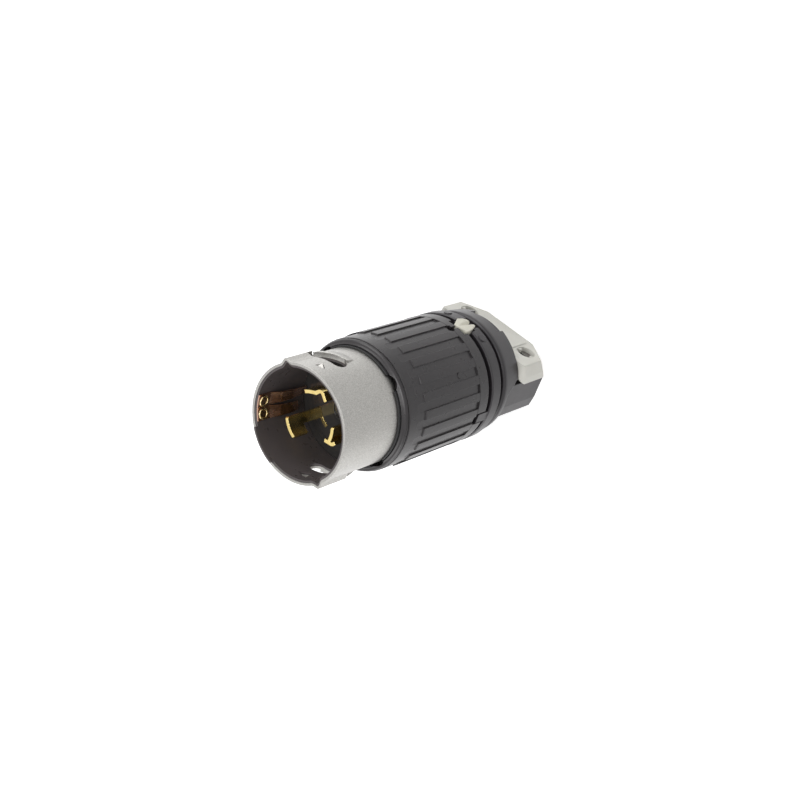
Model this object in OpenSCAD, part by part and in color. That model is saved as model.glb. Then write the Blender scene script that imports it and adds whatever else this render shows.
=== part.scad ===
// Locking power plug, 50 A class, with a steel bayonet shell, three brass
// blades, a fluted grip sleeve and a two-screw cord clamp.
// Frame: +Z runs along the plug axis towards the contacts, the cord end stands
// on z = 0, +X runs along the cord clamp, +Y is the clamp's outer side.
// Angles are measured about Z from +X. Millimetres throughout.

/* [Shell] */
// Outer radius of the steel shell
shell_r = 25.4; // [24:0.1:26]
// Sheet thickness of the steel shell
shell_wall = 1.1; // [0.8:0.1:1.4]
// Length of shell that stands out of the body
shell_reach = 32.3; // [28:0.1:38]
// Length of shell held in the terminal block
shell_root = 12.7; // [9:0.1:14]
// Height of the V-shaped channels that let the mating lugs in
channel_rise = 1.7; // [1:0.1:2.2]
// Half angle that a channel takes up
channel_half_angle = 9; // [7:0.5:10]
// Angle of the first channel
channel_angle = 127.5; // [120:0.5:135]
// Angle from the first channel to the second, the other way round
channel_pitch = -169; // [-175:1:-163]
// Depth of the bayonet slots below the rim
slot_depth = 12.4; // [11:0.1:14]
// Width of a bayonet slot at its closed end
slot_width = 6.6; // [5:0.1:7.5]
// Angle that a bayonet slot turns through
slot_turn = 40; // [34:1:44]
// Height of the turned-out lip behind each slot
lip_rise = 1.1; // [0.6:0.1:1.6]

/* [Liner and grounding spring] */
// Thickness of the insulating liner
liner_wall = 0.9; // [0.6:0.1:1.1]
// How far the liner's lapped end stands past the rim
liner_tongue = 1.2; // [0.6:0.1:1.6]
// Thickness of the copper grounding spring
spring_t = 0.6; // [0.4:0.1:0.8]
// How far the spring fingers stand off the liner
spring_rise = 1.9; // [1.2:0.1:2.4]
// Depth below the rim that the longer finger reaches
finger_reach = 27.2; // [25:0.1:27.4]
// Depth below the rim that the shorter finger reaches
finger_short = 22.5; // [20:0.1:24]
// Radius of a rivet head
rivet_head_r = 2.45; // [2:0.05:2.7]

/* [Contacts] */
// Radius of the circle that the blades stand on
blade_r = 12.5; // [12:0.1:13]
// Thickness of the brass blades
blade_t = 1.5; // [1.2:0.1:1.8]
// Length of blade above the insulating face
blade_reach = 20.2; // [17:0.1:22]
// Depth of the insulating face below the rim
face_depth = 27; // [25:0.1:29]
// Length of the wide head above the locking notch
blade_head = 8.2; // [6:0.1:10]
// Radius of the corners at a blade's tip
blade_corner = 1.1; // [0.6:0.1:1.4]

/* [Body] */
// Length of the tail and clamp, from the cord end to the collar
tail_len = 22; // [20:0.1:26]
// Length of the collar
collar_len = 12; // [10:0.1:14]
// How far the collar's ridge lies below the lock ring
collar_drop = 1; // [0.5:0.1:1.7]
// How much slimmer the collar is where it meets the clamp
collar_taper = 1; // [0.4:0.1:1.6]
// How far each cheek of the tail lies inside the lock ring
tail_inset = 3.9; // [3.3:0.1:4.6]
// Depth of the tail below the axis
tail_depth = 17.5; // [16:0.1:18]
// Width of the groove between collar and ring
groove_len = 3.7; // [3:0.1:5]
// Width of the lock ring
ring_len = 6.4; // [5.5:0.1:8]
// How far the lock ring stands over the ribs of the sleeve
ring_proud = 0.2; // [0:0.1:0.6]
// Depth of the groove between collar and ring, from the ring's top
groove_depth = 3.1; // [2:0.1:3.4]
// Gap between the lock ring and the grip sleeve
ring_gap = 2.6; // [2:0.1:3.5]
// Wall of the housing's spigot
housing_wall = 3.4; // [3:0.1:3.8]
// Depth that the housing's spigot reaches into the sleeve
spigot_reach = 19.3; // [15:0.1:24]

/* [Grip sleeve] */
// Length of the grip sleeve
sleeve_len = 56.9; // [54:0.1:64]
// Wall of the sleeve at its ribs
sleeve_wall = 2.5; // [2.3:0.1:3]
// How far the smooth band at the front lies below the ribs
band_drop = 0.55; // [0.4:0.05:0.8]
// Number of flutes round the sleeve
flutes = 24; // [16:4:28]
// Width of one flute
flute_w = 3.8; // [3:0.1:4.4]
// Depth of the flutes below the ribs
flute_depth = 0.7; // [0.4:0.05:1.2]
// Length of the flutes
flute_len = 42.5; // [38:0.1:44]

/* [Cord clamp] */
// Radius of the cord that the clamp holds
cord_r = 12; // [9:0.1:12.5]
// Height of the clamp's top face above the axis
clamp_top = 18; // [16.5:0.1:19.5]
// Height of the plane where clamp and tail meet
clamp_seat = 8.3; // [7.5:0.1:9]
// How far the clamp's foot stands out past the tail
clamp_flare = 1.5; // [1:0.1:2.4]
// How much each end of the clamp leans in towards its top face
clamp_lean = 2.1; // [1.6:0.1:3]
// Radius of the clamp's corners beside the collar
clamp_corner = 4.5; // [3:0.1:6]
// Distance between the two clamp screws
screw_pitch = 35.2; // [34:0.1:36]
// Radius of a clamp screw
screw_r = 2.1; // [1.7:0.1:2.3]

/* [Terminals] */
// Radius of the terminal screws
lug_screw_r = 2.8; // [2.2:0.1:3.2]
// Width of a terminal lug
lug_w = 10.2; // [9.4:0.1:10.4]
// Height of a terminal lug
lug_h = 10; // [8:0.1:11]

/* [Hidden] */
$fn = 96;
eps = 0.05;
big = 100;

// Clearances
press = 0.05;
fit = 0.1;
slip = 0.2;

// Levels along the axis
collar_z = tail_len;
groove_z = collar_z + collar_len;
ring_z = groove_z + groove_len;
gap_z = ring_z + ring_len;
sleeve_z = gap_z + ring_gap;
block_z = sleeve_z + spigot_reach;
sleeve_top = sleeve_z + sleeve_len;
skirt_top = sleeve_top + 1.1;
root_z = skirt_top - shell_root;
rim_z = skirt_top + shell_reach;
face_z = rim_z - face_depth;
tip_z = face_z + blade_reach;
plate_z = face_z - 10;
ledge_z = face_z - 1.5;

// Radii
bore_r = shell_r - shell_wall;
liner_r = bore_r - press;
liner_in = liner_r - liner_wall;
insulator_r = bore_r - fit;
skirt_in = shell_r + fit;
skirt_r = skirt_in + 0.7;
lip_r = skirt_r + 0.25;
flange_r = skirt_r + 0.6;
sleeve_bore = flange_r + slip;
spigot_r = sleeve_bore - slip;
cavity_r = spigot_r - housing_wall;
rib_r = sleeve_bore + sleeve_wall;
band_r = rib_r - band_drop;
ring_r = rib_r + ring_proud;
groove_r = ring_r - groove_depth;
collar_r = ring_r - collar_drop;
tail_half = ring_r - tail_inset;
clamp_foot = tail_half + clamp_flare;
clamp_half = clamp_foot - clamp_lean;
floor_z = groove_z - 1.5;

// Block
flange_z = plate_z - 6;
flange_top = plate_z - 2.2;
chamber_z = block_z + 8.8;
chamber_top = chamber_z + lug_h + 3.4;
lug_z = chamber_z + 0.2;
tail_in = blade_r - blade_t / 2 - 0.2;
lug_wall = 1.1;
lug_in = tail_in - press - lug_wall;
lug_out = lug_in + 11.4;
tail_w = 6.4;
ground_shift = 1.5;
ground_angle = 170;
hook_angle = 112;
plain_angle = 229.7;
angle_angle = 7;
strap_z = chamber_top + 2;
strap_t = 1.1;
block_screw_r = 1.7;
block_screw_at = 19;
block_screw_angles = [50, 199.8, 295];

// Spring and rivets
spring_angles = [191, 205.5];
rivet_depth = 3;
spring_mid = (spring_angles[0] + spring_angles[1]) / 2;
spring_span = 28.8;
rivet_r = 1.2;

// Latch and keys
latch_x = 1.2;
latch_w = 9.6;
latch_top = ring_r + 0.7;
latch_len = 10.5;
latch_z = ring_z + 0.9;
latch_in = spigot_r + 0.25;
latch_neck = 3.7;
latch_neck_len = 3.7;
key_angles = [0, 180, 270];
key_r = rib_r - 0.2;
key_len = 4.3;
key_w = 4.6;
key_slot_w = 5.8;
key_slot_len = 6.6;

// Clamp
clamp_len = tail_len - 0.6;
screw_z = 10;
head_seat = clamp_top - 4.5;
head_r = 3.8;
head_h = 2.6;
nut_top = 0;
nut_h = 3.5;
nut_w = 8;

function arc_points(cx, cy, r, a0, a1, n) =
    [for (i = [0:n]) [cx + r * cos(a0 + (a1 - a0) * i / n), cy + r * sin(a0 + (a1 - a0) * i / n)]];

// A tube standing on z0
module tube(outer, inner, z0, height) {
    translate([0, 0, z0]) difference() {
        cylinder(r = outer, h = height);
        translate([0, 0, -eps]) cylinder(r = inner, h = height + 2 * eps);
    }
}

// A ring sector with a square section
module sector(r0, r1, a0, a1, z0, z1) {
    rotate([0, 0, a0]) rotate_extrude(angle = a1 - a0)
        translate([r0, z0]) square([r1 - r0, z1 - z0]);
}

// Places its children on the radius at an angle, with local X pointing out
module at_angle(a) {
    rotate([0, 0, a]) children();
}

// A flat outline in the tangent plane, extruded outwards; local x runs round
// the axis towards larger angles and local y runs up
module outward(a, r0, r1) {
    rotate([0, 0, a]) translate([r0, 0, 0]) rotate([90, 0, 90]) linear_extrude(r1 - r0) children();
}

// ---------- shell and liner ----------

// The shell's outline: a circle with two V-shaped channels
module shell_outline(r) {
    circle(r = r);
    for (a = [channel_angle, channel_angle + channel_pitch]) rotate(a) {
        w = r * sin(channel_half_angle);
        c = r * cos(channel_half_angle) - 0.4;
        polygon([[c, -w], [r + 0.35, -w * 0.55], [r + channel_rise, -w * 0.14],
            [r + channel_rise, w * 0.14], [r + 0.35, w * 0.55], [c, w]]);
    }
}

// A bayonet slot, seen from outside, with its closed end at local x = 0
module slot_shape() {
    run = shell_r * slot_turn * PI / 180;
    r_end = slot_width / 2;
    translate([r_end, 0]) circle(r = r_end);
    polygon([[r_end, -r_end], [run * 0.55, -slot_width * 0.28], [run, 0], [run, r_end], [r_end, r_end]]);
}

module bayonet_cuts() {
    for (a = [channel_angle, channel_angle + channel_pitch]) {
        half = slot_turn / 2;
        outward(a - half, shell_r - 5, shell_r + 4)
            translate([-shell_r * sin(half), rim_z - slot_depth - slot_width / 2]) slot_shape();
    }
}

// A lanced tab: its window, and the tab that is bent inwards
module tab_outline() {
    polygon([[-2, 0], [2.2, 1.4], [1.2, -2.4]]);
}

module tab_places() {
    for (a = [channel_angle, channel_angle + channel_pitch]) rotate([0, 0, a - 31])
        translate([0, 0, rim_z - 6]) children();
}

module tab_windows(grow) {
    tab_places() translate([shell_r - 4, 0, 0]) rotate([90, 0, 90])
        linear_extrude(6) scale(1 + grow) tab_outline();
}

module rivet_holes(r) {
    for (a = spring_angles) rotate([0, 0, a]) translate([0, 0, rim_z - rivet_depth])
        rotate([0, 90, 0]) cylinder(r = r, h = shell_r + 2, $fn = 32);
}

module steel_shell() {
    color("Silver") {
        difference() {
            union() {
                translate([0, 0, root_z]) linear_extrude(rim_z - slot_depth - slot_width / 2 - root_z)
                    difference() {
                        circle(r = shell_r);
                        circle(r = bore_r);
                    }
                translate([0, 0, rim_z - slot_depth - slot_width / 2])
                    linear_extrude(slot_depth + slot_width / 2) difference() {
                        shell_outline(shell_r);
                        shell_outline(bore_r);
                    }
                slot_lips();
            }
            bayonet_cuts();
            tab_windows(0);
            rivet_holes(rivet_r + press);
        }
        tab_places() translate([bore_r - 0.1, 0, 0]) rotate([0, -28, 0]) rotate([90, 0, 90])
            linear_extrude(0.7) tab_outline();
    }
}

// The metal behind each slot is turned out into a lip that falls back to the shell
module slot_lips() {
    for (a = [channel_angle, channel_angle + channel_pitch]) rotate([0, 0, a - slot_turn * 0.88])
        rotate_extrude(angle = slot_turn * 0.86) translate([0, rim_z - slot_depth - slot_width / 2])
            polygon([[shell_r - 0.5, -8], [shell_r, -8], [shell_r + lip_rise, -slot_width * 0.42],
                [shell_r + lip_rise, 0], [shell_r - 0.5, 0]]);
}

module shell_liner() {
    z0 = ledge_z + 0.1;
    z1 = rim_z - 0.4;
    mid = rim_z - slot_depth - slot_width / 2;
    color("DimGray") difference() {
        union() {
            translate([0, 0, z0]) linear_extrude(mid - z0) difference() {
                circle(r = liner_r);
                circle(r = liner_in);
            }
            translate([0, 0, mid]) linear_extrude(rim_z + liner_tongue - mid) difference() {
                shell_outline(liner_r);
                shell_outline(liner_in);
            }
        }
        sector(liner_in - 3, big, 256.5, 577.5, z1, z1 + big);
        bayonet_cuts();
        tab_windows(0.45);
        rivet_holes(rivet_r + press);
    }
}

// ---------- grounding spring ----------

// Section of a spring finger: flat under the rivet, then stepped inwards
module finger_section() {
    r = liner_in - press;
    t = spring_t;
    lift = spring_rise;
    bow = lift + 0.4;
    end = lift - 0.2;
    translate([0, rim_z]) polygon([[r, -0.5], [r, -7.4], [r - lift, -12.6], [r - bow, -19],
        [r - end, -finger_reach], [r - end - t, -finger_reach], [r - bow - t, -19],
        [r - lift - t, -12.4], [r - t, -7.2], [r - t, -0.5]]);
}

// What is cut away so that the two fingers part and taper towards their ends
module finger_gaps() {
    mid = spring_mid;
    half = spring_span / 2;
    low = -finger_reach - 2;
    taper = 1.5;
    outward(mid, liner_in - 6, liner_in + 2) translate([0, rim_z])
        polygon([[-0.25, -7], [0.25, -7], [taper, low], [-taper, low]]);
    outward(mid - half, liner_in - 6, liner_in + 2) translate([0, rim_z])
        polygon([[-2, -9], [-0.6, -9], [taper - 0.6, low], [-2, low]]);
    outward(mid + half, liner_in - 6, liner_in + 2) translate([0, rim_z])
        polygon([[2, -9], [0.6, -9], [0.6 - taper, low], [2, low]]);
    sector(liner_in - 6, liner_in + 2, mid, mid + half + 2, rim_z + low, rim_z - finger_short);
}

module ground_spring() {
    color("Peru") difference() {
        rotate([0, 0, spring_mid - spring_span / 2])
            rotate_extrude(angle = spring_span) finger_section();
        finger_gaps();
        rivet_holes(rivet_r + press);
    }
}

module spring_rivets() {
    head_at = liner_in - press - spring_t - 0.2;
    color("DarkGoldenrod") for (a = spring_angles) rotate([0, 0, a])
        translate([0, 0, rim_z - rivet_depth]) rotate([0, 90, 0]) {
            translate([0, 0, head_at - 0.6])
                cylinder(r1 = rivet_head_r - 0.8, r2 = rivet_head_r, h = 0.35, $fn = 40);
            translate([0, 0, head_at - 0.25]) cylinder(r = rivet_head_r, h = 0.25, $fn = 40);
            translate([0, 0, head_at - eps]) cylinder(r = rivet_r, h = shell_r - head_at - 0.1, $fn = 32);
        }
}

// ---------- contacts ----------

// Rounds one corner of a blade's tip; dir = 1 at its larger angle, -1 at its smaller
module tip_corner(a, dir) {
    c = blade_corner;
    outline = concat([[0.5, 0]], arc_points(-c, 0, c + 0.04, 0, 90, 5), [[-c, c + 0.5], [0.5, c + 0.5]]);
    outward(a, blade_r - 3, blade_r + 3) translate([0, tip_z - c])
        polygon([for (p = outline) [p[0] * dir, p[1]]]);
}

// Arc-shaped part of a blade from the block up to its tip
module blade_arc(a0, a1, grow) {
    sector(blade_r - blade_t / 2 - grow, blade_r + blade_t / 2 + grow, a0 - grow * 4, a1 + grow * 4,
        plate_z - 4 - grow, tip_z);
}

// The locking notch, cut into the blade's edge at its larger angle
module lock_notch(a0, a1) {
    sector(blade_r - 5, blade_r + 5, a0, a1, face_z + 0.3, tip_z - blade_head);
}

// Flat tail that runs down into a terminal lug
module blade_tail(a, grow) {
    at_angle(a) translate([tail_in - grow, -tail_w / 2 - grow, lug_z - 0.2])
        cube([blade_t + 2 * grow, tail_w + 2 * grow, plate_z - lug_z]);
}

// Outline of a curved blade of half thickness w
function curved_blade(w, a_hi, a_lo) =
    concat(arc_points(0, 0, blade_r + w, a_hi, a_lo, 10), arc_points(0, 0, blade_r - w, a_lo, a_hi, 10));

// Outline of a bar of half thickness w from point p past a round bend at q to
// its end at r, without the corners at p; the bend turns clockwise
function bend_points(p, q, r, w) =
    let (a = atan2(q[1] - p[1], q[0] - p[0]) + 90, b = atan2(r[1] - q[1], r[0] - q[0]) + 90,
        n = [cos(a), sin(a)], m = [cos(b), sin(b)], c = q - bend_r * (n + m) / (1 + n * m))
    concat(arc_points(c[0], c[1], bend_r + w, a, b, 8), [r + m * w, r - m * w],
        arc_points(c[0], c[1], bend_r - w, b, a, 8));

module blade_bar(grow) {
    translate([0, 0, plate_z - 4 - grow]) linear_extrude(tip_z - plate_z + 4 + grow) children();
}

hook_a0 = 98;
hook_a1 = 127.6;
arm_r = 22;
arm_at = (blade_r - arm_r) * [cos(112), sin(112)] + [2.54, 1.03];
arm_a0 = 110.8;
arm_a1 = 127.8;
hook_root = arm_at + arm_r * [cos(arm_a0), sin(arm_a0)];
hook_crown = [0.6, 15.6];
hook_end = [4.2, 12.4];
bend_r = 1.6;
plain_a0 = 208.8;
plain_a1 = 250.6;
angle_a0 = -9.5;
angle_a1 = 22.3;
foot_in = [10.2, -2.6];
foot_knee = [14.3, -1.95];
foot_out = [15.3, -0.5];

module blade_hook_form(grow) {
    w = blade_t / 2 + grow;
    lean = atan2(hook_end[1] - hook_crown[1], hook_end[0] - hook_crown[0]);
    end = hook_end + grow * [cos(lean), sin(lean)];
    tip = arm_a1 + grow * 2;
    blade_bar(grow) polygon(concat(
        arc_points(arm_at[0], arm_at[1], arm_r + w, tip, arm_a0 + 1, 6),
        bend_points(hook_root, hook_crown, end, w),
        arc_points(arm_at[0], arm_at[1], arm_r - w, arm_a0 - 1.4, tip, 6)));
    blade_tail(hook_angle, grow);
}

module blade_hook() {
    color("Goldenrod") difference() {
        blade_hook_form(0);
        lock_notch((hook_a0 + hook_a1) / 2, hook_a1 + 5);
        tip_corner(hook_a1, 1);
    }
}

module blade_plain_form(grow) {
    blade_arc(plain_a0, plain_a1, grow);
    blade_tail(plain_angle, grow);
}

module blade_plain() {
    color("Goldenrod") difference() {
        blade_plain_form(0);
        lock_notch((plain_a0 + plain_a1) / 2, plain_a1 + 5);
        tip_corner(plain_a1, 1);
        tip_corner(plain_a0, -1);
    }
}

module blade_angle_form(grow) {
    w = blade_t / 2 + grow;
    lean = atan2(foot_out[1] - foot_knee[1], foot_out[0] - foot_knee[0]);
    out = foot_out + grow * [cos(lean), sin(lean)];
    in = foot_in - grow * [1, 0];
    side = w * [-sin(lean), cos(lean)];
    blade_bar(grow) polygon(curved_blade(w, angle_a1 + grow * 4, angle_a0));
    blade_bar(grow) polygon(concat([out + side, out - side], bend_points(out, foot_knee, in, w)));
    blade_tail(angle_angle, grow);
}

module blade_angle() {
    color("Goldenrod") difference() {
        blade_angle_form(0);
        lock_notch((angle_a0 + angle_a1) / 2, angle_a1 + 5);
        tip_corner(angle_a1, 1);
    }
}

// ---------- insulators ----------

module front_insulator() {
    color([0.12, 0.12, 0.13]) difference() {
        union() {
            translate([0, 0, plate_z]) cylinder(r = insulator_r, h = ledge_z - plate_z);
            translate([0, 0, ledge_z - eps]) cylinder(r = liner_in - 0.8, h = 0.3 + eps);
            translate([0, 0, ledge_z]) cylinder(r = 19.2, h = 0.9);
            translate([0, 0, ledge_z]) cylinder(r = 16.6, h = face_z - ledge_z);
            translate([0, 0, face_z - eps]) tube(5.2, 4.2, 0, 0.5);
        }
        translate([0, 0, plate_z + 2]) cylinder(r = 3, h = big);
        blade_hook_form(press);
        blade_plain_form(press);
        blade_angle_form(press);
        for (a = block_screw_angles) at_angle(a) translate([block_screw_at, 0, plate_z - eps])
            cylinder(r = block_screw_r + press, h = 7, $fn = 32);
    }
}

// Pocket for one terminal lug, with its wire hole
module chamber(a, shift) {
    at_angle(a) translate([shift, 0, 0]) {
        translate([lug_in - 0.1, -lug_w / 2 - 0.2, chamber_z])
            cube([big, lug_w + 0.4, chamber_top - chamber_z]);
        translate([lug_in + 5.1, 0, block_z - 1]) cylinder(r = 3.9, h = chamber_z - block_z + 2, $fn = 48);
    }
}

module terminal_block() {
    color([0.16, 0.16, 0.17]) difference() {
        union() {
            translate([0, 0, block_z]) cylinder(r = skirt_r, h = skirt_top - block_z);
            translate([0, 0, flange_z]) cylinder(r = flange_r, h = flange_top - flange_z);
        }
        translate([0, 0, plate_z]) cylinder(r = skirt_in, h = big);
        tube(skirt_in, bore_r - fit, root_z, plate_z - root_z + 1);
        chamber(hook_angle, 0);
        chamber(plain_angle, 0);
        chamber(angle_angle, 0);
        chamber(ground_angle, ground_shift);
        blade_hook_form(press);
        blade_plain_form(press);
        blade_angle_form(press);
        ground_strap_form(press);
        for (a = block_screw_angles) at_angle(a) translate([block_screw_at, 0, block_z - 1]) {
            cylinder(r = block_screw_r + fit, h = big, $fn = 32);
            cylinder(r = 3.2, h = 5, $fn = 40);
        }
        scallops();
    }
}

// Recesses for a spanner, cut into the sleeve's nose and the block's skirt
module scallops() {
    for (a = [57.5:90:359]) at_angle(a) translate([22, 0, sleeve_top - 5.5]) difference() {
        cylinder(r = 5.3, h = 20, $fn = 64);
        translate([-22, 0, -1]) cylinder(r = shell_r + fit, h = 30);
    }
}

module block_screws() {
    color("Gray") for (a = block_screw_angles) at_angle(a) translate([block_screw_at, 0, block_z + 4]) {
        translate([0, 0, -0.5]) cylinder(r = block_screw_r, h = plate_z + 6.5 - block_z - 4, $fn = 32);
        translate([0, 0, -2.8]) difference() {
            cylinder(r = 3, h = 2.8, $fn = 40);
            translate([-4, -0.4, -eps]) cube([8, 0.8, 1.2]);
        }
    }
}

// ---------- terminals ----------

module lug() {
    translate([lug_in, -lug_w / 2, lug_z]) difference() {
        cube([lug_out - lug_in, lug_w, lug_h]);
        translate([lug_wall, 1.3, -eps]) cube([lug_out - lug_in - 4.5, lug_w - 2.6, lug_h + 2 * eps]);
        translate([lug_out - lug_in - 5, lug_w / 2, lug_h / 2]) rotate([0, 90, 0])
            cylinder(r = lug_screw_r + press, h = 8, $fn = 40);
    }
}

module terminal_lug(a, shift) {
    color("Goldenrod") at_angle(a) translate([shift, 0, 0]) lug();
}

module terminal_lug_x() {
    terminal_lug(hook_angle, 0);
}

module terminal_lug_y() {
    terminal_lug(plain_angle, 0);
}

module terminal_lug_z() {
    terminal_lug(angle_angle, 0);
}

module terminal_lug_ground() {
    terminal_lug(ground_angle, ground_shift);
}

module terminal_screws() {
    color("DarkGray") {
        for (a = [hook_angle, plain_angle, angle_angle]) at_angle(a) lug_screw();
        at_angle(ground_angle) translate([ground_shift, 0, 0]) lug_screw();
    }
}

module lug_screw() {
    x0 = blade_r + blade_t / 2 + 1.2;
    length = lug_out + 0.6 - x0;
    translate([x0, 0, lug_z + lug_h / 2]) rotate([0, 90, 0]) difference() {
        cylinder(r = lug_screw_r, h = length, $fn = 40);
        translate([-0.5, -4, length - 1.4]) cube([1, 8, 2]);
    }
}

module ground_strap_form(grow) {
    inner = tail_in + ground_shift;
    rise_r = bore_r - fit - press;
    at_angle(ground_angle) {
        translate([inner - grow, -tail_w / 2 - grow, lug_z - 0.2])
            cube([blade_t + 2 * grow, tail_w + 2 * grow, strap_z + strap_t - lug_z + 0.2 + grow]);
        translate([inner - grow, -tail_w / 2 - grow, strap_z - grow])
            cube([rise_r - 0.6 - inner, tail_w + 2 * grow, strap_t + 2 * grow]);
    }
    half = 7.5 + grow * 3;
    sector(rise_r - strap_t - grow, rise_r + grow * 0.5, ground_angle - half, ground_angle + half,
        strap_z - grow, plate_z - 0.3 + grow);
}

module ground_strap() {
    color("DarkKhaki") ground_strap_form(0);
}

// ---------- sleeve, housing and latch ----------

module sleeve_section() {
    lower = rib_r + 0.1;
    ribs_top = sleeve_top - 12.6;
    nose = sleeve_top - 2.1;
    polygon(concat([[sleeve_bore, sleeve_z], [lower - 0.5, sleeve_z], [lower, sleeve_z + 0.5],
        [lower, sleeve_z + 6.4], [rib_r, sleeve_z + 6.6], [rib_r, ribs_top - 0.3], [rib_r - 0.3, ribs_top],
        [band_r, ribs_top], [band_r - 0.15, nose - 0.9], [band_r - 0.35, nose - 0.6],
        [band_r - 0.85, nose - 0.5], [band_r - 0.85, nose - 0.25], [band_r - 0.45, nose - 0.1]],
        arc_points(band_r - 1.95, nose, 1.5, 8, 80, 6),
        [[lip_r, sleeve_top], [lip_r, flange_top], [sleeve_bore, flange_top]]));
}

// One flute: round corners at the front, square at the back
module flute_shape() {
    c = 1.3;
    w = flute_w;
    translate([-w / 2, 0]) square([w, flute_len - c]);
    translate([-w / 2 + c, 0]) square([w - 2 * c, flute_len]);
    for (s = [-1, 1]) translate([s * (w / 2 - c), flute_len - c]) circle(r = c, $fn = 32);
}

module grip_sleeve() {
    floor_r = rib_r - flute_depth;
    flute_z = sleeve_z + 6.5;
    color([0.14, 0.14, 0.15]) {
        difference() {
            rotate_extrude() sleeve_section();
            for (i = [0:flutes - 1]) outward(i * 360 / flutes - 0.8, floor_r, floor_r + 6)
                translate([0, flute_z]) flute_shape();
            scallops();
            for (a = key_angles) at_angle(a)
                translate([sleeve_bore - 1, -key_slot_w / 2, sleeve_z - 1])
                    cube([6, key_slot_w, key_slot_len + 1]);
            at_angle(90) translate([sleeve_bore - 1, -latch_x, sleeve_z - 1]) {
                translate([0, -latch_w / 2 - 0.3, 0])
                    cube([6, latch_w + 0.6, latch_z + latch_len + 1.3 - sleeve_z]);
                translate([0, -0.6, 0]) cube([6, 1.6, 8.2]);
                translate([0, -1.6, 6.5]) cube([6, 3.8, 1.9]);
            }
        }
        at_angle(45) translate([floor_r - 0.3, 0, sleeve_z + 18.3]) rotate([0, 90, 0])
            cylinder(r = 1.5, h = 0.55, $fn = 40);
    }
}

// Section of the housing without its tail
module housing_section() {
    polygon(concat([[0, collar_z], [collar_r - collar_taper, collar_z], [collar_r, groove_z - 2.2]],
        arc_points(collar_r - 1.6, groove_z - 1.6, 1.6, 10, 70, 4),
        [[groove_r, groove_z], [groove_r, ring_z], [ring_r - 0.5, ring_z], [ring_r, ring_z + 0.5],
        [ring_r, gap_z - 0.5], [ring_r - 0.5, gap_z], [spigot_r, gap_z], [spigot_r, block_z],
        [0, block_z]]));
}

// The tail across the axis: straight cheeks, then bevels down to a flat belly
module tail_outline() {
    w = tail_half;
    d = tail_depth;
    half = [[w, clamp_seat], [w + 0.2, -3.7], [w - 0.5, -9.2], [w - 8.3, 2.7 - d],
        [w - 11.8, 0.5 - d], [w - 13.5, -d]];
    polygon(concat(half, [for (i = [len(half) - 1:-1:0]) [-half[i][0], half[i][1]]]));
}

// Everything below the line where the collar's upper half ends
module below_collar() {
    rotate([90, 0, 90]) translate([0, 0, -big / 2]) linear_extrude(big)
        polygon([[-big, -big], [clamp_seat + 2.7, -big], [clamp_seat + 2.7, collar_z + 1],
            [clamp_seat - 2.8, groove_z - 4], [-big, groove_z - 4]]);
}

module rear_housing() {
    color([0.13, 0.13, 0.14]) difference() {
        union() {
            difference() {
                rotate_extrude() housing_section();
                below_collar();
            }
            linear_extrude(groove_z - 3.5) tail_outline();
            for (a = key_angles) at_angle(a) translate([spigot_r - 1, -key_w / 2 - 0.5, gap_z - 1])
                cube([key_r - spigot_r + 1, key_w, ring_gap + key_len + 1]);
            for (a = [69.5, 110.5]) at_angle(a) translate([ring_r - 1, 0, ring_z + ring_len / 2])
                rotate([0, 90, 0]) cylinder(r = 1.9, h = 1.4, $fn = 40);
        }
        translate([0, 0, floor_z]) cylinder(r = cavity_r, h = big);
        translate([0, 0, -1]) cylinder(r = cord_r, h = floor_z + 2);
        translate([-cord_r, 0, -1]) cube([2 * cord_r, clamp_seat + 1, collar_z + 1]);
        sector(collar_r - 2.2, big, 72.5, 107.5, collar_z - 1, collar_z + 4);
        translate([latch_x, latch_in - press, ring_z]) {
            translate([-latch_w / 2 - fit, 0, latch_neck_len]) cube([latch_w + 2 * fit, 6, ring_len]);
            translate([-latch_neck, 0, -1]) cube([2 * latch_neck, 6, ring_len]);
        }
        for (s = [-1, 1]) translate([s * screw_pitch / 2, 0, screw_z]) {
            rotate([90, 0, 0]) translate([0, 0, -clamp_seat - 1])
                cylinder(r = screw_r + slip, h = clamp_seat + 11, $fn = 40);
            translate([-nut_w / 2 - fit, nut_top - nut_h - 0.2, -screw_z - 1])
                cube([nut_w + 2 * fit, nut_h + 0.3, screw_z + nut_w / 2 + 1.1]);
        }
    }
}

// The latch seen from outside: two round toes with a groove between them
module latch_plan() {
    w = latch_w / 2;
    toe = 1.45;
    half = concat([[0.2, toe * 1.5]], arc_points(toe + 0.2, toe, toe, 180, 320, 7), [[w - 0.3, 5.4]]);
    top = [[w, latch_len - 1.8], [w - 0.4, latch_len - 1.3], [0.6 - w / 2, latch_len]];
    polygon(concat(half, top, [for (i = [len(half) - 1:-1:0]) [-half[i][0], half[i][1]]]));
}

module lock_latch() {
    mid = latch_z + latch_len / 2;
    color("Ivory") difference() {
        intersection() {
            translate([latch_x, latch_top + 2, latch_z]) rotate([90, 0, 0])
                linear_extrude(latch_top + 2 - latch_in) latch_plan();
            cylinder(r = latch_top, h = rim_z);
            translate([-big / 2, latch_top - 17, mid]) rotate([0, 90, 0])
                cylinder(r = 17.1, h = big, $fn = 128);
        }
        translate([latch_x, latch_top - 1, latch_z - 1]) rotate([-9, 0, 0]) rotate([0, 0, 45])
            cube([3, 3, 9]);
    }
}

module dust_shield() {
    color([0.2, 0.2, 0.2]) tube(cavity_r - fit, 8, floor_z, 2.5);
}

// ---------- cord clamp ----------

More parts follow.
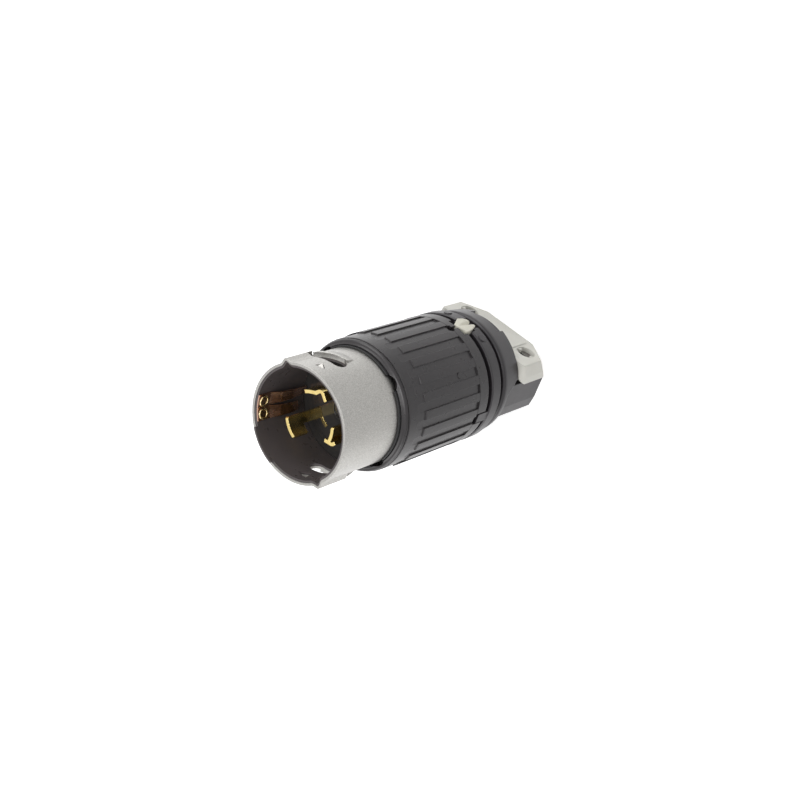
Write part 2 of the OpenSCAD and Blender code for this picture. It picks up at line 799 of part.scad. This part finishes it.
// The clamp seen along the plug's axis
module clamp_outline() {
    foot = clamp_foot;
    half = [[foot - 0.3, clamp_seat], [foot, clamp_seat + 0.4], [foot - 0.1, clamp_seat + 4],
        [clamp_half + 0.4, clamp_top - 0.6], [clamp_half, clamp_top]];
    polygon(concat(half, [for (i = [len(half) - 1:-1:0]) [-half[i][0], half[i][1]]]));
}

// The clamp seen from above, with round corners beside the collar
module clamp_plan() {
    c = clamp_corner;
    half = concat([[clamp_foot + 1, -1], [clamp_foot + 1, clamp_len - c - 1]],
        arc_points(clamp_foot + 0.02 - c, clamp_len - c, c, 0, 90, 8));
    polygon(concat(half, [for (i = [len(half) - 1:-1:0]) [-half[i][0], half[i][1]]]));
}

module cord_clamp() {
    c = 5;
    color("Ivory") {
        difference() {
            union() {
                intersection() {
                    linear_extrude(clamp_len) clamp_outline();
                    translate([0, clamp_top + 1, 0]) rotate([90, 0, 0])
                        linear_extrude(clamp_top) clamp_plan();
                }
                translate([-12.5, clamp_top - 1, 3]) cube([25, 1.3, clamp_len - 6]);
            }
            translate([0, 0, -1]) cylinder(r = cord_r, h = clamp_len + 2);
            for (z = [3.4:4.6:clamp_len - 3]) translate([0, 0, z]) cylinder(r = cord_r + 0.8, h = 1.4);
            for (s = [0, 1]) mirror([s, 0, 0]) {
                translate([14.2, clamp_top, 0]) rotate([0, 134.8, 45.7])
                    translate([-big / 2, -big / 2, 0]) cube(big);
                translate([22, clamp_seat, clamp_len - c]) difference() {
                    translate([0, -1, 0]) cube([10, c + 1, c + 1]);
                    translate([-1, c, 0]) rotate([0, 90, 0]) cylinder(r = c, h = 12, $fn = 48);
                }
            }
            for (s = [-1, 1]) translate([s * screw_pitch / 2, 0, screw_z]) rotate([-90, 0, 0]) {
                cylinder(r = screw_r + slip, h = big, $fn = 40);
                translate([0, 0, head_seat]) cylinder(r = head_r + 0.4, h = big, $fn = 48);
            }
        }
        for (s = [-1, 1], e = [-1, 1]) translate([s * screw_pitch / 2 + e * (head_r - 0.1),
            head_seat + head_h + 0.1, screw_z]) rotate([-90, 0, 0])
                cylinder(r = 1.15, h = clamp_top - head_seat - head_h - 0.4, $fn = 32);
    }
}

module clamp_screws() {
    color("Silver") for (s = [-1, 1]) translate([s * screw_pitch / 2, 0, screw_z]) rotate([-90, 0, 0]) {
        translate([0, 0, -6]) cylinder(r = screw_r, h = head_seat + 6 + eps, $fn = 40);
        translate([0, 0, head_seat]) difference() {
            cylinder(r = head_r, h = head_h, $fn = 48);
            translate([-5, -0.5, 1.4]) cube([10, 1, 2]);
        }
    }
}

module clamp_nuts() {
    color("Gray") for (s = [-1, 1]) translate([s * screw_pitch / 2, nut_top - nut_h, screw_z]) difference() {
        translate([-nut_w / 2, 0, -nut_w / 2]) cube([nut_w, nut_h, nut_w]);
        rotate([-90, 0, 0]) translate([0, 0, -1]) cylinder(r = screw_r + press, h = nut_h + 2, $fn = 40);
    }
}

steel_shell();
shell_liner();
ground_spring();
spring_rivets();
front_insulator();
blade_hook();
blade_plain();
blade_angle();
terminal_block();
terminal_lug_x();
terminal_lug_y();
terminal_lug_z();
terminal_lug_ground();
terminal_screws();
ground_strap();
block_screws();
grip_sleeve();
rear_housing();
lock_latch();
dust_shield();
cord_clamp();
clamp_screws();
clamp_nuts();
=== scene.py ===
"""A locking power plug: steel bayonet shell, three brass blades, fluted black grip, ivory cord clamp."""
import math

import bmesh
import bpy
from mathutils import Matrix, Vector


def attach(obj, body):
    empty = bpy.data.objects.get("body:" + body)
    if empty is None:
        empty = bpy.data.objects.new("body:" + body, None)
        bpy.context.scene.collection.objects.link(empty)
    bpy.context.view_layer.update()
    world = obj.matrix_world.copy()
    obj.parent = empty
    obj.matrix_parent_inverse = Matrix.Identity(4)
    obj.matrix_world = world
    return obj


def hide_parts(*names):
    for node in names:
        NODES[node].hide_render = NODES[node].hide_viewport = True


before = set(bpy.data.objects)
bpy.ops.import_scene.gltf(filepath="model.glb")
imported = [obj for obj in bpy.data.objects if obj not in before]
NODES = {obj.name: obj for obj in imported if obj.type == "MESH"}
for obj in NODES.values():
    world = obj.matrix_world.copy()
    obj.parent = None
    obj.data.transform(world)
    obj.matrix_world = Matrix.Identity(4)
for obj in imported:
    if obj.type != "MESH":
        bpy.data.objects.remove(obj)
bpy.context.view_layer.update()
MM = 0.001
SCENE = bpy.context.scene


# ---------- camera ----------

def make_camera():
    """The photograph's viewpoint: above and to the clamp's side, with the plug leaning across the frame."""
    data = bpy.data.cameras.new("view")
    data.lens = 64.0
    data.sensor_width = 36.0
    data.clip_end = 20.0
    cam = bpy.data.objects.new("view", data)
    SCENE.collection.objects.link(cam)
    azimuth, elevation, roll = math.radians(-130.893), math.radians(-48.258), math.radians(-108.614)
    ahead = Vector((math.cos(azimuth) * math.cos(elevation), math.sin(azimuth) * math.cos(elevation),
                    math.sin(elevation)))
    turn = ahead.to_track_quat("-Z", "Y").to_matrix().to_4x4()
    cam.matrix_world = Matrix.Translation((0.27154, 0.30776, 0.53382)) @ turn @ Matrix.Rotation(roll, 4, "Z")
    SCENE.camera = cam


make_camera()


# ---------- floor and light ----------

# strength of the world's light on the plug
WORLD_LIGHT = 0.32
# extra strength of the floor as a camera sees it
FLOOR_GLOW = 0.62
# extra strength of the floor in a mirror, and where it starts and ends fading, in metres towards FRONT
FLOOR_GLOSS = 0.5
GLOSS_START, GLOSS_END = -0.02, 0.12
FRONT = (0.661, 0.75, 0.0)
FLOOR_HALF = 6.0


def area_light(name, place, target, size, power):
    """A soft box at `place` that faces `target`; metres and watts."""
    data = bpy.data.lights.new(name, "AREA")
    data.shape = "RECTANGLE"
    data.size, data.size_y = size
    data.energy = power
    lamp = bpy.data.objects.new(name, data)
    lamp.location = place
    lamp.rotation_mode = "QUATERNION"
    lamp.rotation_quaternion = (Vector(target) - Vector(place)).to_track_quat("-Z", "Y")
    SCENE.collection.objects.link(lamp)


def seen_plainly(tree, unseen, camera, mirrored):
    """A strength that is `unseen` for the light that falls on the plug, and higher for what is looked at."""
    path = tree.nodes.new("ShaderNodeLightPath")
    total = None
    for ray, extra in (("Is Camera Ray", camera - unseen), ("Is Glossy Ray", mirrored - unseen),
                       ("Is Transmission Ray", mirrored - unseen)):
        step = tree.nodes.new("ShaderNodeMath")
        step.operation = "MULTIPLY_ADD"
        tree.links.new(path.outputs[ray], step.inputs[0])
        step.inputs[1].default_value = extra
        step.inputs[2].default_value = unseen
        if total:
            tree.links.new(total, step.inputs[2])
        total = step.outputs[0]
    return total


def make_stage():
    """A pale floor under a white world, lit by three soft boxes."""
    mesh = bpy.data.meshes.new("floor")
    s = FLOOR_HALF
    mesh.from_pydata([(-s, -s, 0), (s, -s, 0), (s, s, 0), (-s, s, 0)], [], [(0, 1, 2, 3)])
    floor = bpy.data.objects.new("floor", mesh)
    SCENE.collection.objects.link(floor)
    mat = bpy.data.materials.new("floor_white")
    mat.use_nodes = True
    shader = mat.node_tree.nodes["Principled BSDF"]
    shader.inputs["Base Color"].default_value = (0.93, 0.93, 0.93, 1)
    shader.inputs["Roughness"].default_value = 0.9
    shader.inputs["Specular IOR Level"].default_value = 0.1
    # the floor is a little brighter to look at than the light it gives, so it stays white around the shadow
    tree = mat.node_tree
    glow = tree.nodes.new("ShaderNodeEmission")
    both = tree.nodes.new("ShaderNodeAddShader")
    tree.links.new(seen_plainly(tree, 0.0, FLOOR_GLOW, 0.0), glow.inputs["Strength"])
    # what the satin shell mirrors: a bright floor behind and beside the plug that fades towards the front
    card = tree.nodes.new("ShaderNodeEmission")
    place = tree.nodes.new("ShaderNodeTexCoord")
    ahead = tree.nodes.new("ShaderNodeVectorMath")
    ahead.operation = "DOT_PRODUCT"
    ahead.inputs[1].default_value = FRONT
    fall = tree.nodes.new("ShaderNodeMapRange")
    fall.interpolation_type = "SMOOTHSTEP"
    for key, value in (("From Min", GLOSS_START), ("From Max", GLOSS_END),
                       ("To Min", FLOOR_GLOSS), ("To Max", 0.0)):
        fall.inputs[key].default_value = value
    share = tree.nodes.new("ShaderNodeMath")
    share.operation = "MULTIPLY"
    tree.links.new(place.outputs["Object"], ahead.inputs[0])
    tree.links.new(ahead.outputs["Value"], fall.inputs["Value"])
    tree.links.new(fall.outputs["Result"], share.inputs[0])
    tree.links.new(seen_plainly(tree, 0.0, 0.0, 1.0), share.inputs[1])
    tree.links.new(share.outputs[0], card.inputs["Strength"])
    sum_up = tree.nodes.new("ShaderNodeAddShader")
    tree.links.new(glow.outputs[0], sum_up.inputs[0])
    tree.links.new(card.outputs[0], sum_up.inputs[1])
    tree.links.new(shader.outputs[0], both.inputs[0])
    tree.links.new(sum_up.outputs[0], both.inputs[1])
    tree.links.new(both.outputs[0], tree.nodes["Material Output"].inputs["Surface"])
    mesh.materials.append(mat)

    world = bpy.data.worlds.new("studio")
    SCENE.world = world
    world.use_nodes = True
    back = world.node_tree.nodes["Background"]
    back.inputs["Color"].default_value = (1, 1, 1, 1)
    world.node_tree.links.new(seen_plainly(world.node_tree, WORLD_LIGHT, 1.0, 1.0), back.inputs["Strength"])
    # two large soft boxes, one on each side of the plug as the camera sees it, and one above
    area_light("soft_left", (-0.55, 0.75, 0.45), (0, 0, 0.08), (0.7, 0.9), 4.2)
    area_light("soft_right", (0.6, -0.75, 0.35), (0, 0, 0.08), (0.6, 0.8), 3.4)
    area_light("soft_top", (0.25, 0.3, 1.25), (0, 0, 0.1), (0.6, 0.6), 5.5)


make_stage()
SCENE.view_settings.view_transform = "Standard"


# ---------- materials ----------

class Graph:
    """A short way to add and join shader nodes."""

    def __init__(self, name):
        self.mat = bpy.data.materials.new(name)
        self.mat.use_nodes = True
        self.nodes = self.mat.node_tree.nodes
        self.links = self.mat.node_tree.links
        self.shader = self.nodes["Principled BSDF"]
        self.place = self.nodes.new("ShaderNodeTexCoord").outputs["Object"]

    def set(self, **values):
        for key, value in values.items():
            self.shader.inputs[key.replace("_", " ")].default_value = value

    def node(self, kind, inputs=None, **settings):
        made = self.nodes.new("ShaderNode" + kind)
        for key, value in settings.items():
            setattr(made, key, value)
        for key, value in (inputs or {}).items():
            if isinstance(value, bpy.types.NodeSocket):
                self.links.new(value, made.inputs[key])
            else:
                made.inputs[key].default_value = value
        return made

    def noise(self, scale, detail, stretch=None):
        vector = self.place
        if stretch:
            vector = self.node("Mapping", {"Vector": vector, "Scale": stretch}).outputs[0]
        return self.node("TexNoise", {"Vector": vector, "Scale": scale, "Detail": detail}).outputs["Fac"]

    def spread(self, value, low, high):
        """The middle of a noise, stretched from `low` to `high`."""
        return self.node("MapRange", {"Value": value, "From Min": 0.3, "From Max": 0.7,
                                      "To Min": low, "To Max": high}).outputs["Result"]

    def tint(self, value, dark, light):
        """The middle of a noise as a colour from `dark` to `light`."""
        ramp = self.nodes.new("ShaderNodeValToRGB")
        for stop, position, colour in zip(ramp.color_ramp.elements, (0.3, 0.7), (dark, light)):
            stop.position = position
            stop.color = (*colour, 1)
        self.links.new(value, ramp.inputs["Fac"])
        return ramp.outputs["Color"]

    def bump(self, height, strength, distance, edge):
        """A fine relief of `distance` metres, on edges broken by `edge` metres."""
        return self.node("Bump", {"Height": height, "Strength": strength, "Distance": distance,
                                  "Normal": self.rounded(edge)}).outputs["Normal"]

    def rounded(self, edge):
        """Edges that look broken by `edge`, or the facets' own normals on a thin sheet with none."""
        if edge:
            return self.node("Bevel", {"Radius": edge}, samples=6).outputs["Normal"]
        return self.node("NewGeometry").outputs["True Normal"]

    def join(self, value, name):
        self.links.new(value, self.shader.inputs[name])


def plastic(name, dark, light, rough=(0.4, 0.5), grain=2600, height=0.03 * MM, edge=0.3 * MM):
    """Moulded plastic or board: cloudy colour and shine, a fine grain, and edges that catch the light."""
    g = Graph(name)
    g.join(g.tint(g.noise(60, 4), dark, light), "Base Color")
    g.join(g.spread(g.noise(300, 3), rough[0], rough[1]), "Roughness")
    g.join(g.bump(g.noise(grain, 2), 0.25, height, edge), "Normal")
    return g


def metal(name, dark, light, rough=(0.25, 0.4), stretch=None, scale=400, height=0.01 * MM, edge=0.25 * MM):
    """Sheet or turned metal, with streaks along the axis that its noise is stretched on."""
    g = Graph(name)
    g.set(Metallic=1.0)
    streak = g.noise(scale, 4, stretch)
    g.join(g.tint(streak, dark, light), "Base Color")
    g.join(g.spread(streak, rough[0], rough[1]), "Roughness")
    g.join(g.bump(streak, 0.15, height, edge), "Normal")
    return g


def steel():
    """Satin sheet steel: a fine grain, with soft cloudy patches in its shine."""
    g = Graph("shell_steel")
    g.set(Metallic=1.0)
    cloud = g.noise(55, 3)
    grain = g.noise(2300, 3)
    g.join(g.tint(grain, (0.38, 0.37, 0.35), (0.58, 0.57, 0.545)), "Base Color")
    g.join(g.spread(cloud, 0.30, 0.42), "Roughness")
    g.join(g.bump(grain, 0.2, 0.012 * MM, 0.3 * MM), "Normal")
    return g


POLISHED = 0.002 * MM
MATERIALS = {
    "steel_shell": steel(),
    "shell_liner": plastic(
        "liner_board", (0.10, 0.087, 0.088), (0.125, 0.108, 0.110), (0.26, 0.38),
        grain=1800, height=0.01 * MM, edge=0),
    "ground_spring": metal(
        "spring_copper", (0.60, 0.37, 0.28), (0.68, 0.44, 0.34), (0.22, 0.30),
        stretch=(1, 1, 0.3), scale=300, height=POLISHED, edge=0),
    # the rivets' dark brown colour is painted shade: it stands for the dark hollow in the middle of each
    # tubular rivet
    "spring_rivets": metal(
        "rivet_hollow_painted_shade", (0.20, 0.13, 0.08), (0.34, 0.23, 0.15), (0.3, 0.4), scale=600, height=POLISHED),
    "rivet_rims": metal(
        "rim_brass", (0.90, 0.72, 0.36), (0.97, 0.82, 0.46), (0.12, 0.2), scale=600, height=POLISHED),
    "front_insulator": plastic(
        "face_gloss", (0.034, 0.032, 0.031), (0.048, 0.045, 0.043), (0.10, 0.16),
        grain=1500, height=0.004 * MM),
    "blade_hook": metal(
        "blade_brass", (0.84, 0.64, 0.24), (0.92, 0.74, 0.32), (0.16, 0.24),
        stretch=(1, 1, 0.2), scale=500, height=POLISHED),
    "terminal_block": plastic("block_nylon", (0.02, 0.02, 0.021), (0.028, 0.027, 0.028)),
    "terminal_lug_x": metal("lug_brass", (0.62, 0.47, 0.26), (0.8, 0.64, 0.38)),
    "terminal_screws": metal("zinc_screw", (0.5, 0.5, 0.48), (0.68, 0.68, 0.66), (0.3, 0.4)),
    "ground_strap": metal("strap_brass", (0.6, 0.46, 0.26), (0.76, 0.6, 0.36)),
    "grip_sleeve": plastic(
        "sleeve_nylon", (0.025, 0.022, 0.024), (0.031, 0.027, 0.029), (0.27, 0.31),
        grain=1800, height=POLISHED),
    "rear_housing": plastic(
        "housing_nylon", (0.025, 0.022, 0.025), (0.032, 0.028, 0.032), (0.28, 0.33),
        grain=1800, height=POLISHED),
    "lock_latch": plastic(
        "latch_ivory", (0.64, 0.62, 0.52), (0.71, 0.69, 0.59), (0.35, 0.45), height=0.01 * MM, edge=0),
    "dust_shield": plastic("shield_rubber", (0.02, 0.02, 0.02), (0.035, 0.035, 0.035), (0.6, 0.7)),
    "cord_clamp": plastic(
        "clamp_ivory", (0.66, 0.65, 0.59), (0.72, 0.71, 0.66), (0.35, 0.45),
        height=0.02 * MM, edge=0.9 * MM),
    # the clamp screws' dark colour is painted shade: it stands for the shade of the deep holes the screws
    # sit in
    "clamp_screws": metal("clamp_screw_steel", (0.22, 0.21, 0.2), (0.34, 0.33, 0.32), (0.3, 0.4)),
    "clamp_nuts": metal("nut_steel", (0.5, 0.5, 0.48), (0.65, 0.65, 0.63), (0.3, 0.4)),
}
SAME_AS = {
    "blade_plain": "blade_hook",
    "blade_angle": "blade_hook",
    "block_screws": "terminal_screws",
    "terminal_lug_y": "terminal_lug_x",
    "terminal_lug_z": "terminal_lug_x",
    "terminal_lug_ground": "terminal_lug_x",
}
for node_name, obj in NODES.items():
    source = MATERIALS[SAME_AS.get(node_name, node_name)].mat
    for slot in obj.material_slots:
        slot.material = source


# ---------- fine pieces ----------

# rolled rim of a tubular rivet: radius of its crest, half its width, its height as a share of that, and how
# far it stands off the head
RIM_R = 2.1 * MM
RIM_ROLL = 0.42 * MM
RIM_FLATNESS = 0.6
RIM_PROUD = 0.08 * MM
# the latch's groove: its depth, how steeply its floor rises, and the width of the bar that cuts it
GROOVE_DEPTH = 2.0 * MM
GROOVE_RISE = math.radians(9)
GROOVE_SIDE = 8 * MM
# how finely the moulded latch is meshed, and how often that mesh is smoothed
LATCH_GRID = 0.14 * MM
LATCH_SMOOTHING = 40
# the faces of a CAD node come apart, so points closer than this count as one
WELD = 0.001 * MM


def islands(obj):
    """The separate solids of a CAD node, each as a list of its points, in the same order on every run."""
    mesh = bmesh.new()
    mesh.from_mesh(obj.data)
    bmesh.ops.remove_doubles(mesh, verts=mesh.verts, dist=WELD)
    seen = set()
    found = []
    for start in mesh.verts:
        if start in seen:
            continue
        seen.add(start)
        stack = [start]
        part = []
        while stack:
            vert = stack.pop()
            part.append(vert.co.copy())
            for edge in vert.link_edges:
                other = edge.other_vert(vert)
                if other not in seen:
                    seen.add(other)
                    stack.append(other)
        found.append(part)
    mesh.free()
    return found


def lathe(mesh, profile, place, steps=48):
    """Adds a closed profile of (radius, height) points turned round the local Z of the matrix `place`."""
    rings = []
    for i in range(steps):
        turn = 2 * math.pi * i / steps
        rings.append([mesh.verts.new(place @ Vector((r * math.cos(turn), r * math.sin(turn), h)))
                      for r, h in profile])
    for i in range(steps):
        here, there = rings[i], rings[(i + 1) % steps]
        for j in range(len(profile)):
            k = (j + 1) % len(profile)
            mesh.faces.new((here[j], there[j], there[k], here[k]))


def add_piece(name, mesh, material):
    """Turns a bmesh in the frame's own place into a smooth piece that rides on the plug."""
    data = bpy.data.meshes.new(name)
    bmesh.ops.recalc_face_normals(mesh, faces=mesh.faces)
    mesh.to_mesh(data)
    mesh.free()
    for face in data.polygons:
        face.use_smooth = True
    data.materials.append(material)
    piece = bpy.data.objects.new(name, data)
    SCENE.collection.objects.link(piece)
    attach(piece, "root")
    return piece


def rivet_rims():
    """The rolled rims of the two tubular rivets that hold the grounding spring."""
    mesh = bmesh.new()
    turns = [t * math.pi / 6 for t in range(12)]
    profile = [(RIM_R + RIM_ROLL * math.cos(t), RIM_FLATNESS * RIM_ROLL * math.sin(t) + RIM_PROUD)
               for t in turns]
    for part in islands(NODES["spring_rivets"]):
        zs = [p.z for p in part]
        middle = sum(part, Vector()) / len(part)
        out = Vector((middle.x, middle.y, 0)).normalized()
        face = min(p.dot(out) for p in part)
        place = Matrix.Translation(Vector((0, 0, (min(zs) + max(zs)) / 2)) + out * face) @ \
            (-out).to_track_quat("Z", "Y").to_matrix().to_4x4()
        lathe(mesh, profile, place)
    add_piece("rivet_rims", mesh, MATERIALS["rivet_rims"].mat)


def moulded_latch():
    """The latch with its groove cut to full depth and its corners rounded as they leave the mould."""
    solid = NODES["lock_latch"]
    low = Vector([min(v.co[i] for v in solid.data.vertices) for i in range(3)])
    high = Vector([max(v.co[i] for v in solid.data.vertices) for i in range(3)])
    middle = (low.x + high.x) / 2
    mesh = bmesh.new()
    # a square bar on its edge, twice as long as it is wide, with that edge along the groove's floor
    half = GROOVE_SIDE / 2
    place = Matrix.Translation((middle, high.y - GROOVE_DEPTH, low.z)) @ \
        Matrix.Rotation(-GROOVE_RISE, 4, "X") @ Matrix.Rotation(math.radians(45), 4, "Z") @ \
        Matrix.Translation((half, half, half)) @ Matrix.Diagonal((1, 1, 2, 1))
    bmesh.ops.create_cube(mesh, size=GROOVE_SIDE, matrix=place)
    data = bpy.data.meshes.new("groove")
    mesh.to_mesh(data)
    mesh.free()
    cutter = bpy.data.objects.new("groove", data)
    work = bpy.data.objects.new("work", solid.data.copy())
    for obj in (cutter, work):
        SCENE.collection.objects.link(obj)
    cut = work.modifiers.new("cut", "BOOLEAN")
    cut.operation = "DIFFERENCE"
    cut.object = cutter
    skin = work.modifiers.new("skin", "REMESH")
    skin.mode = "VOXEL"
    skin.voxel_size = LATCH_GRID
    smooth = work.modifiers.new("smooth", "SMOOTH")
    smooth.factor = 0.5
    smooth.iterations = LATCH_SMOOTHING
    shaped = bpy.data.meshes.new_from_object(work.evaluated_get(bpy.context.evaluated_depsgraph_get()))
    for obj in (cutter, work):
        bpy.data.objects.remove(obj)
    mesh = bmesh.new()
    mesh.from_mesh(shaped)
    latch = add_piece("latch_moulded", mesh, MATERIALS["lock_latch"].mat)
    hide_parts("lock_latch")


rivet_rims()
moulded_latch()
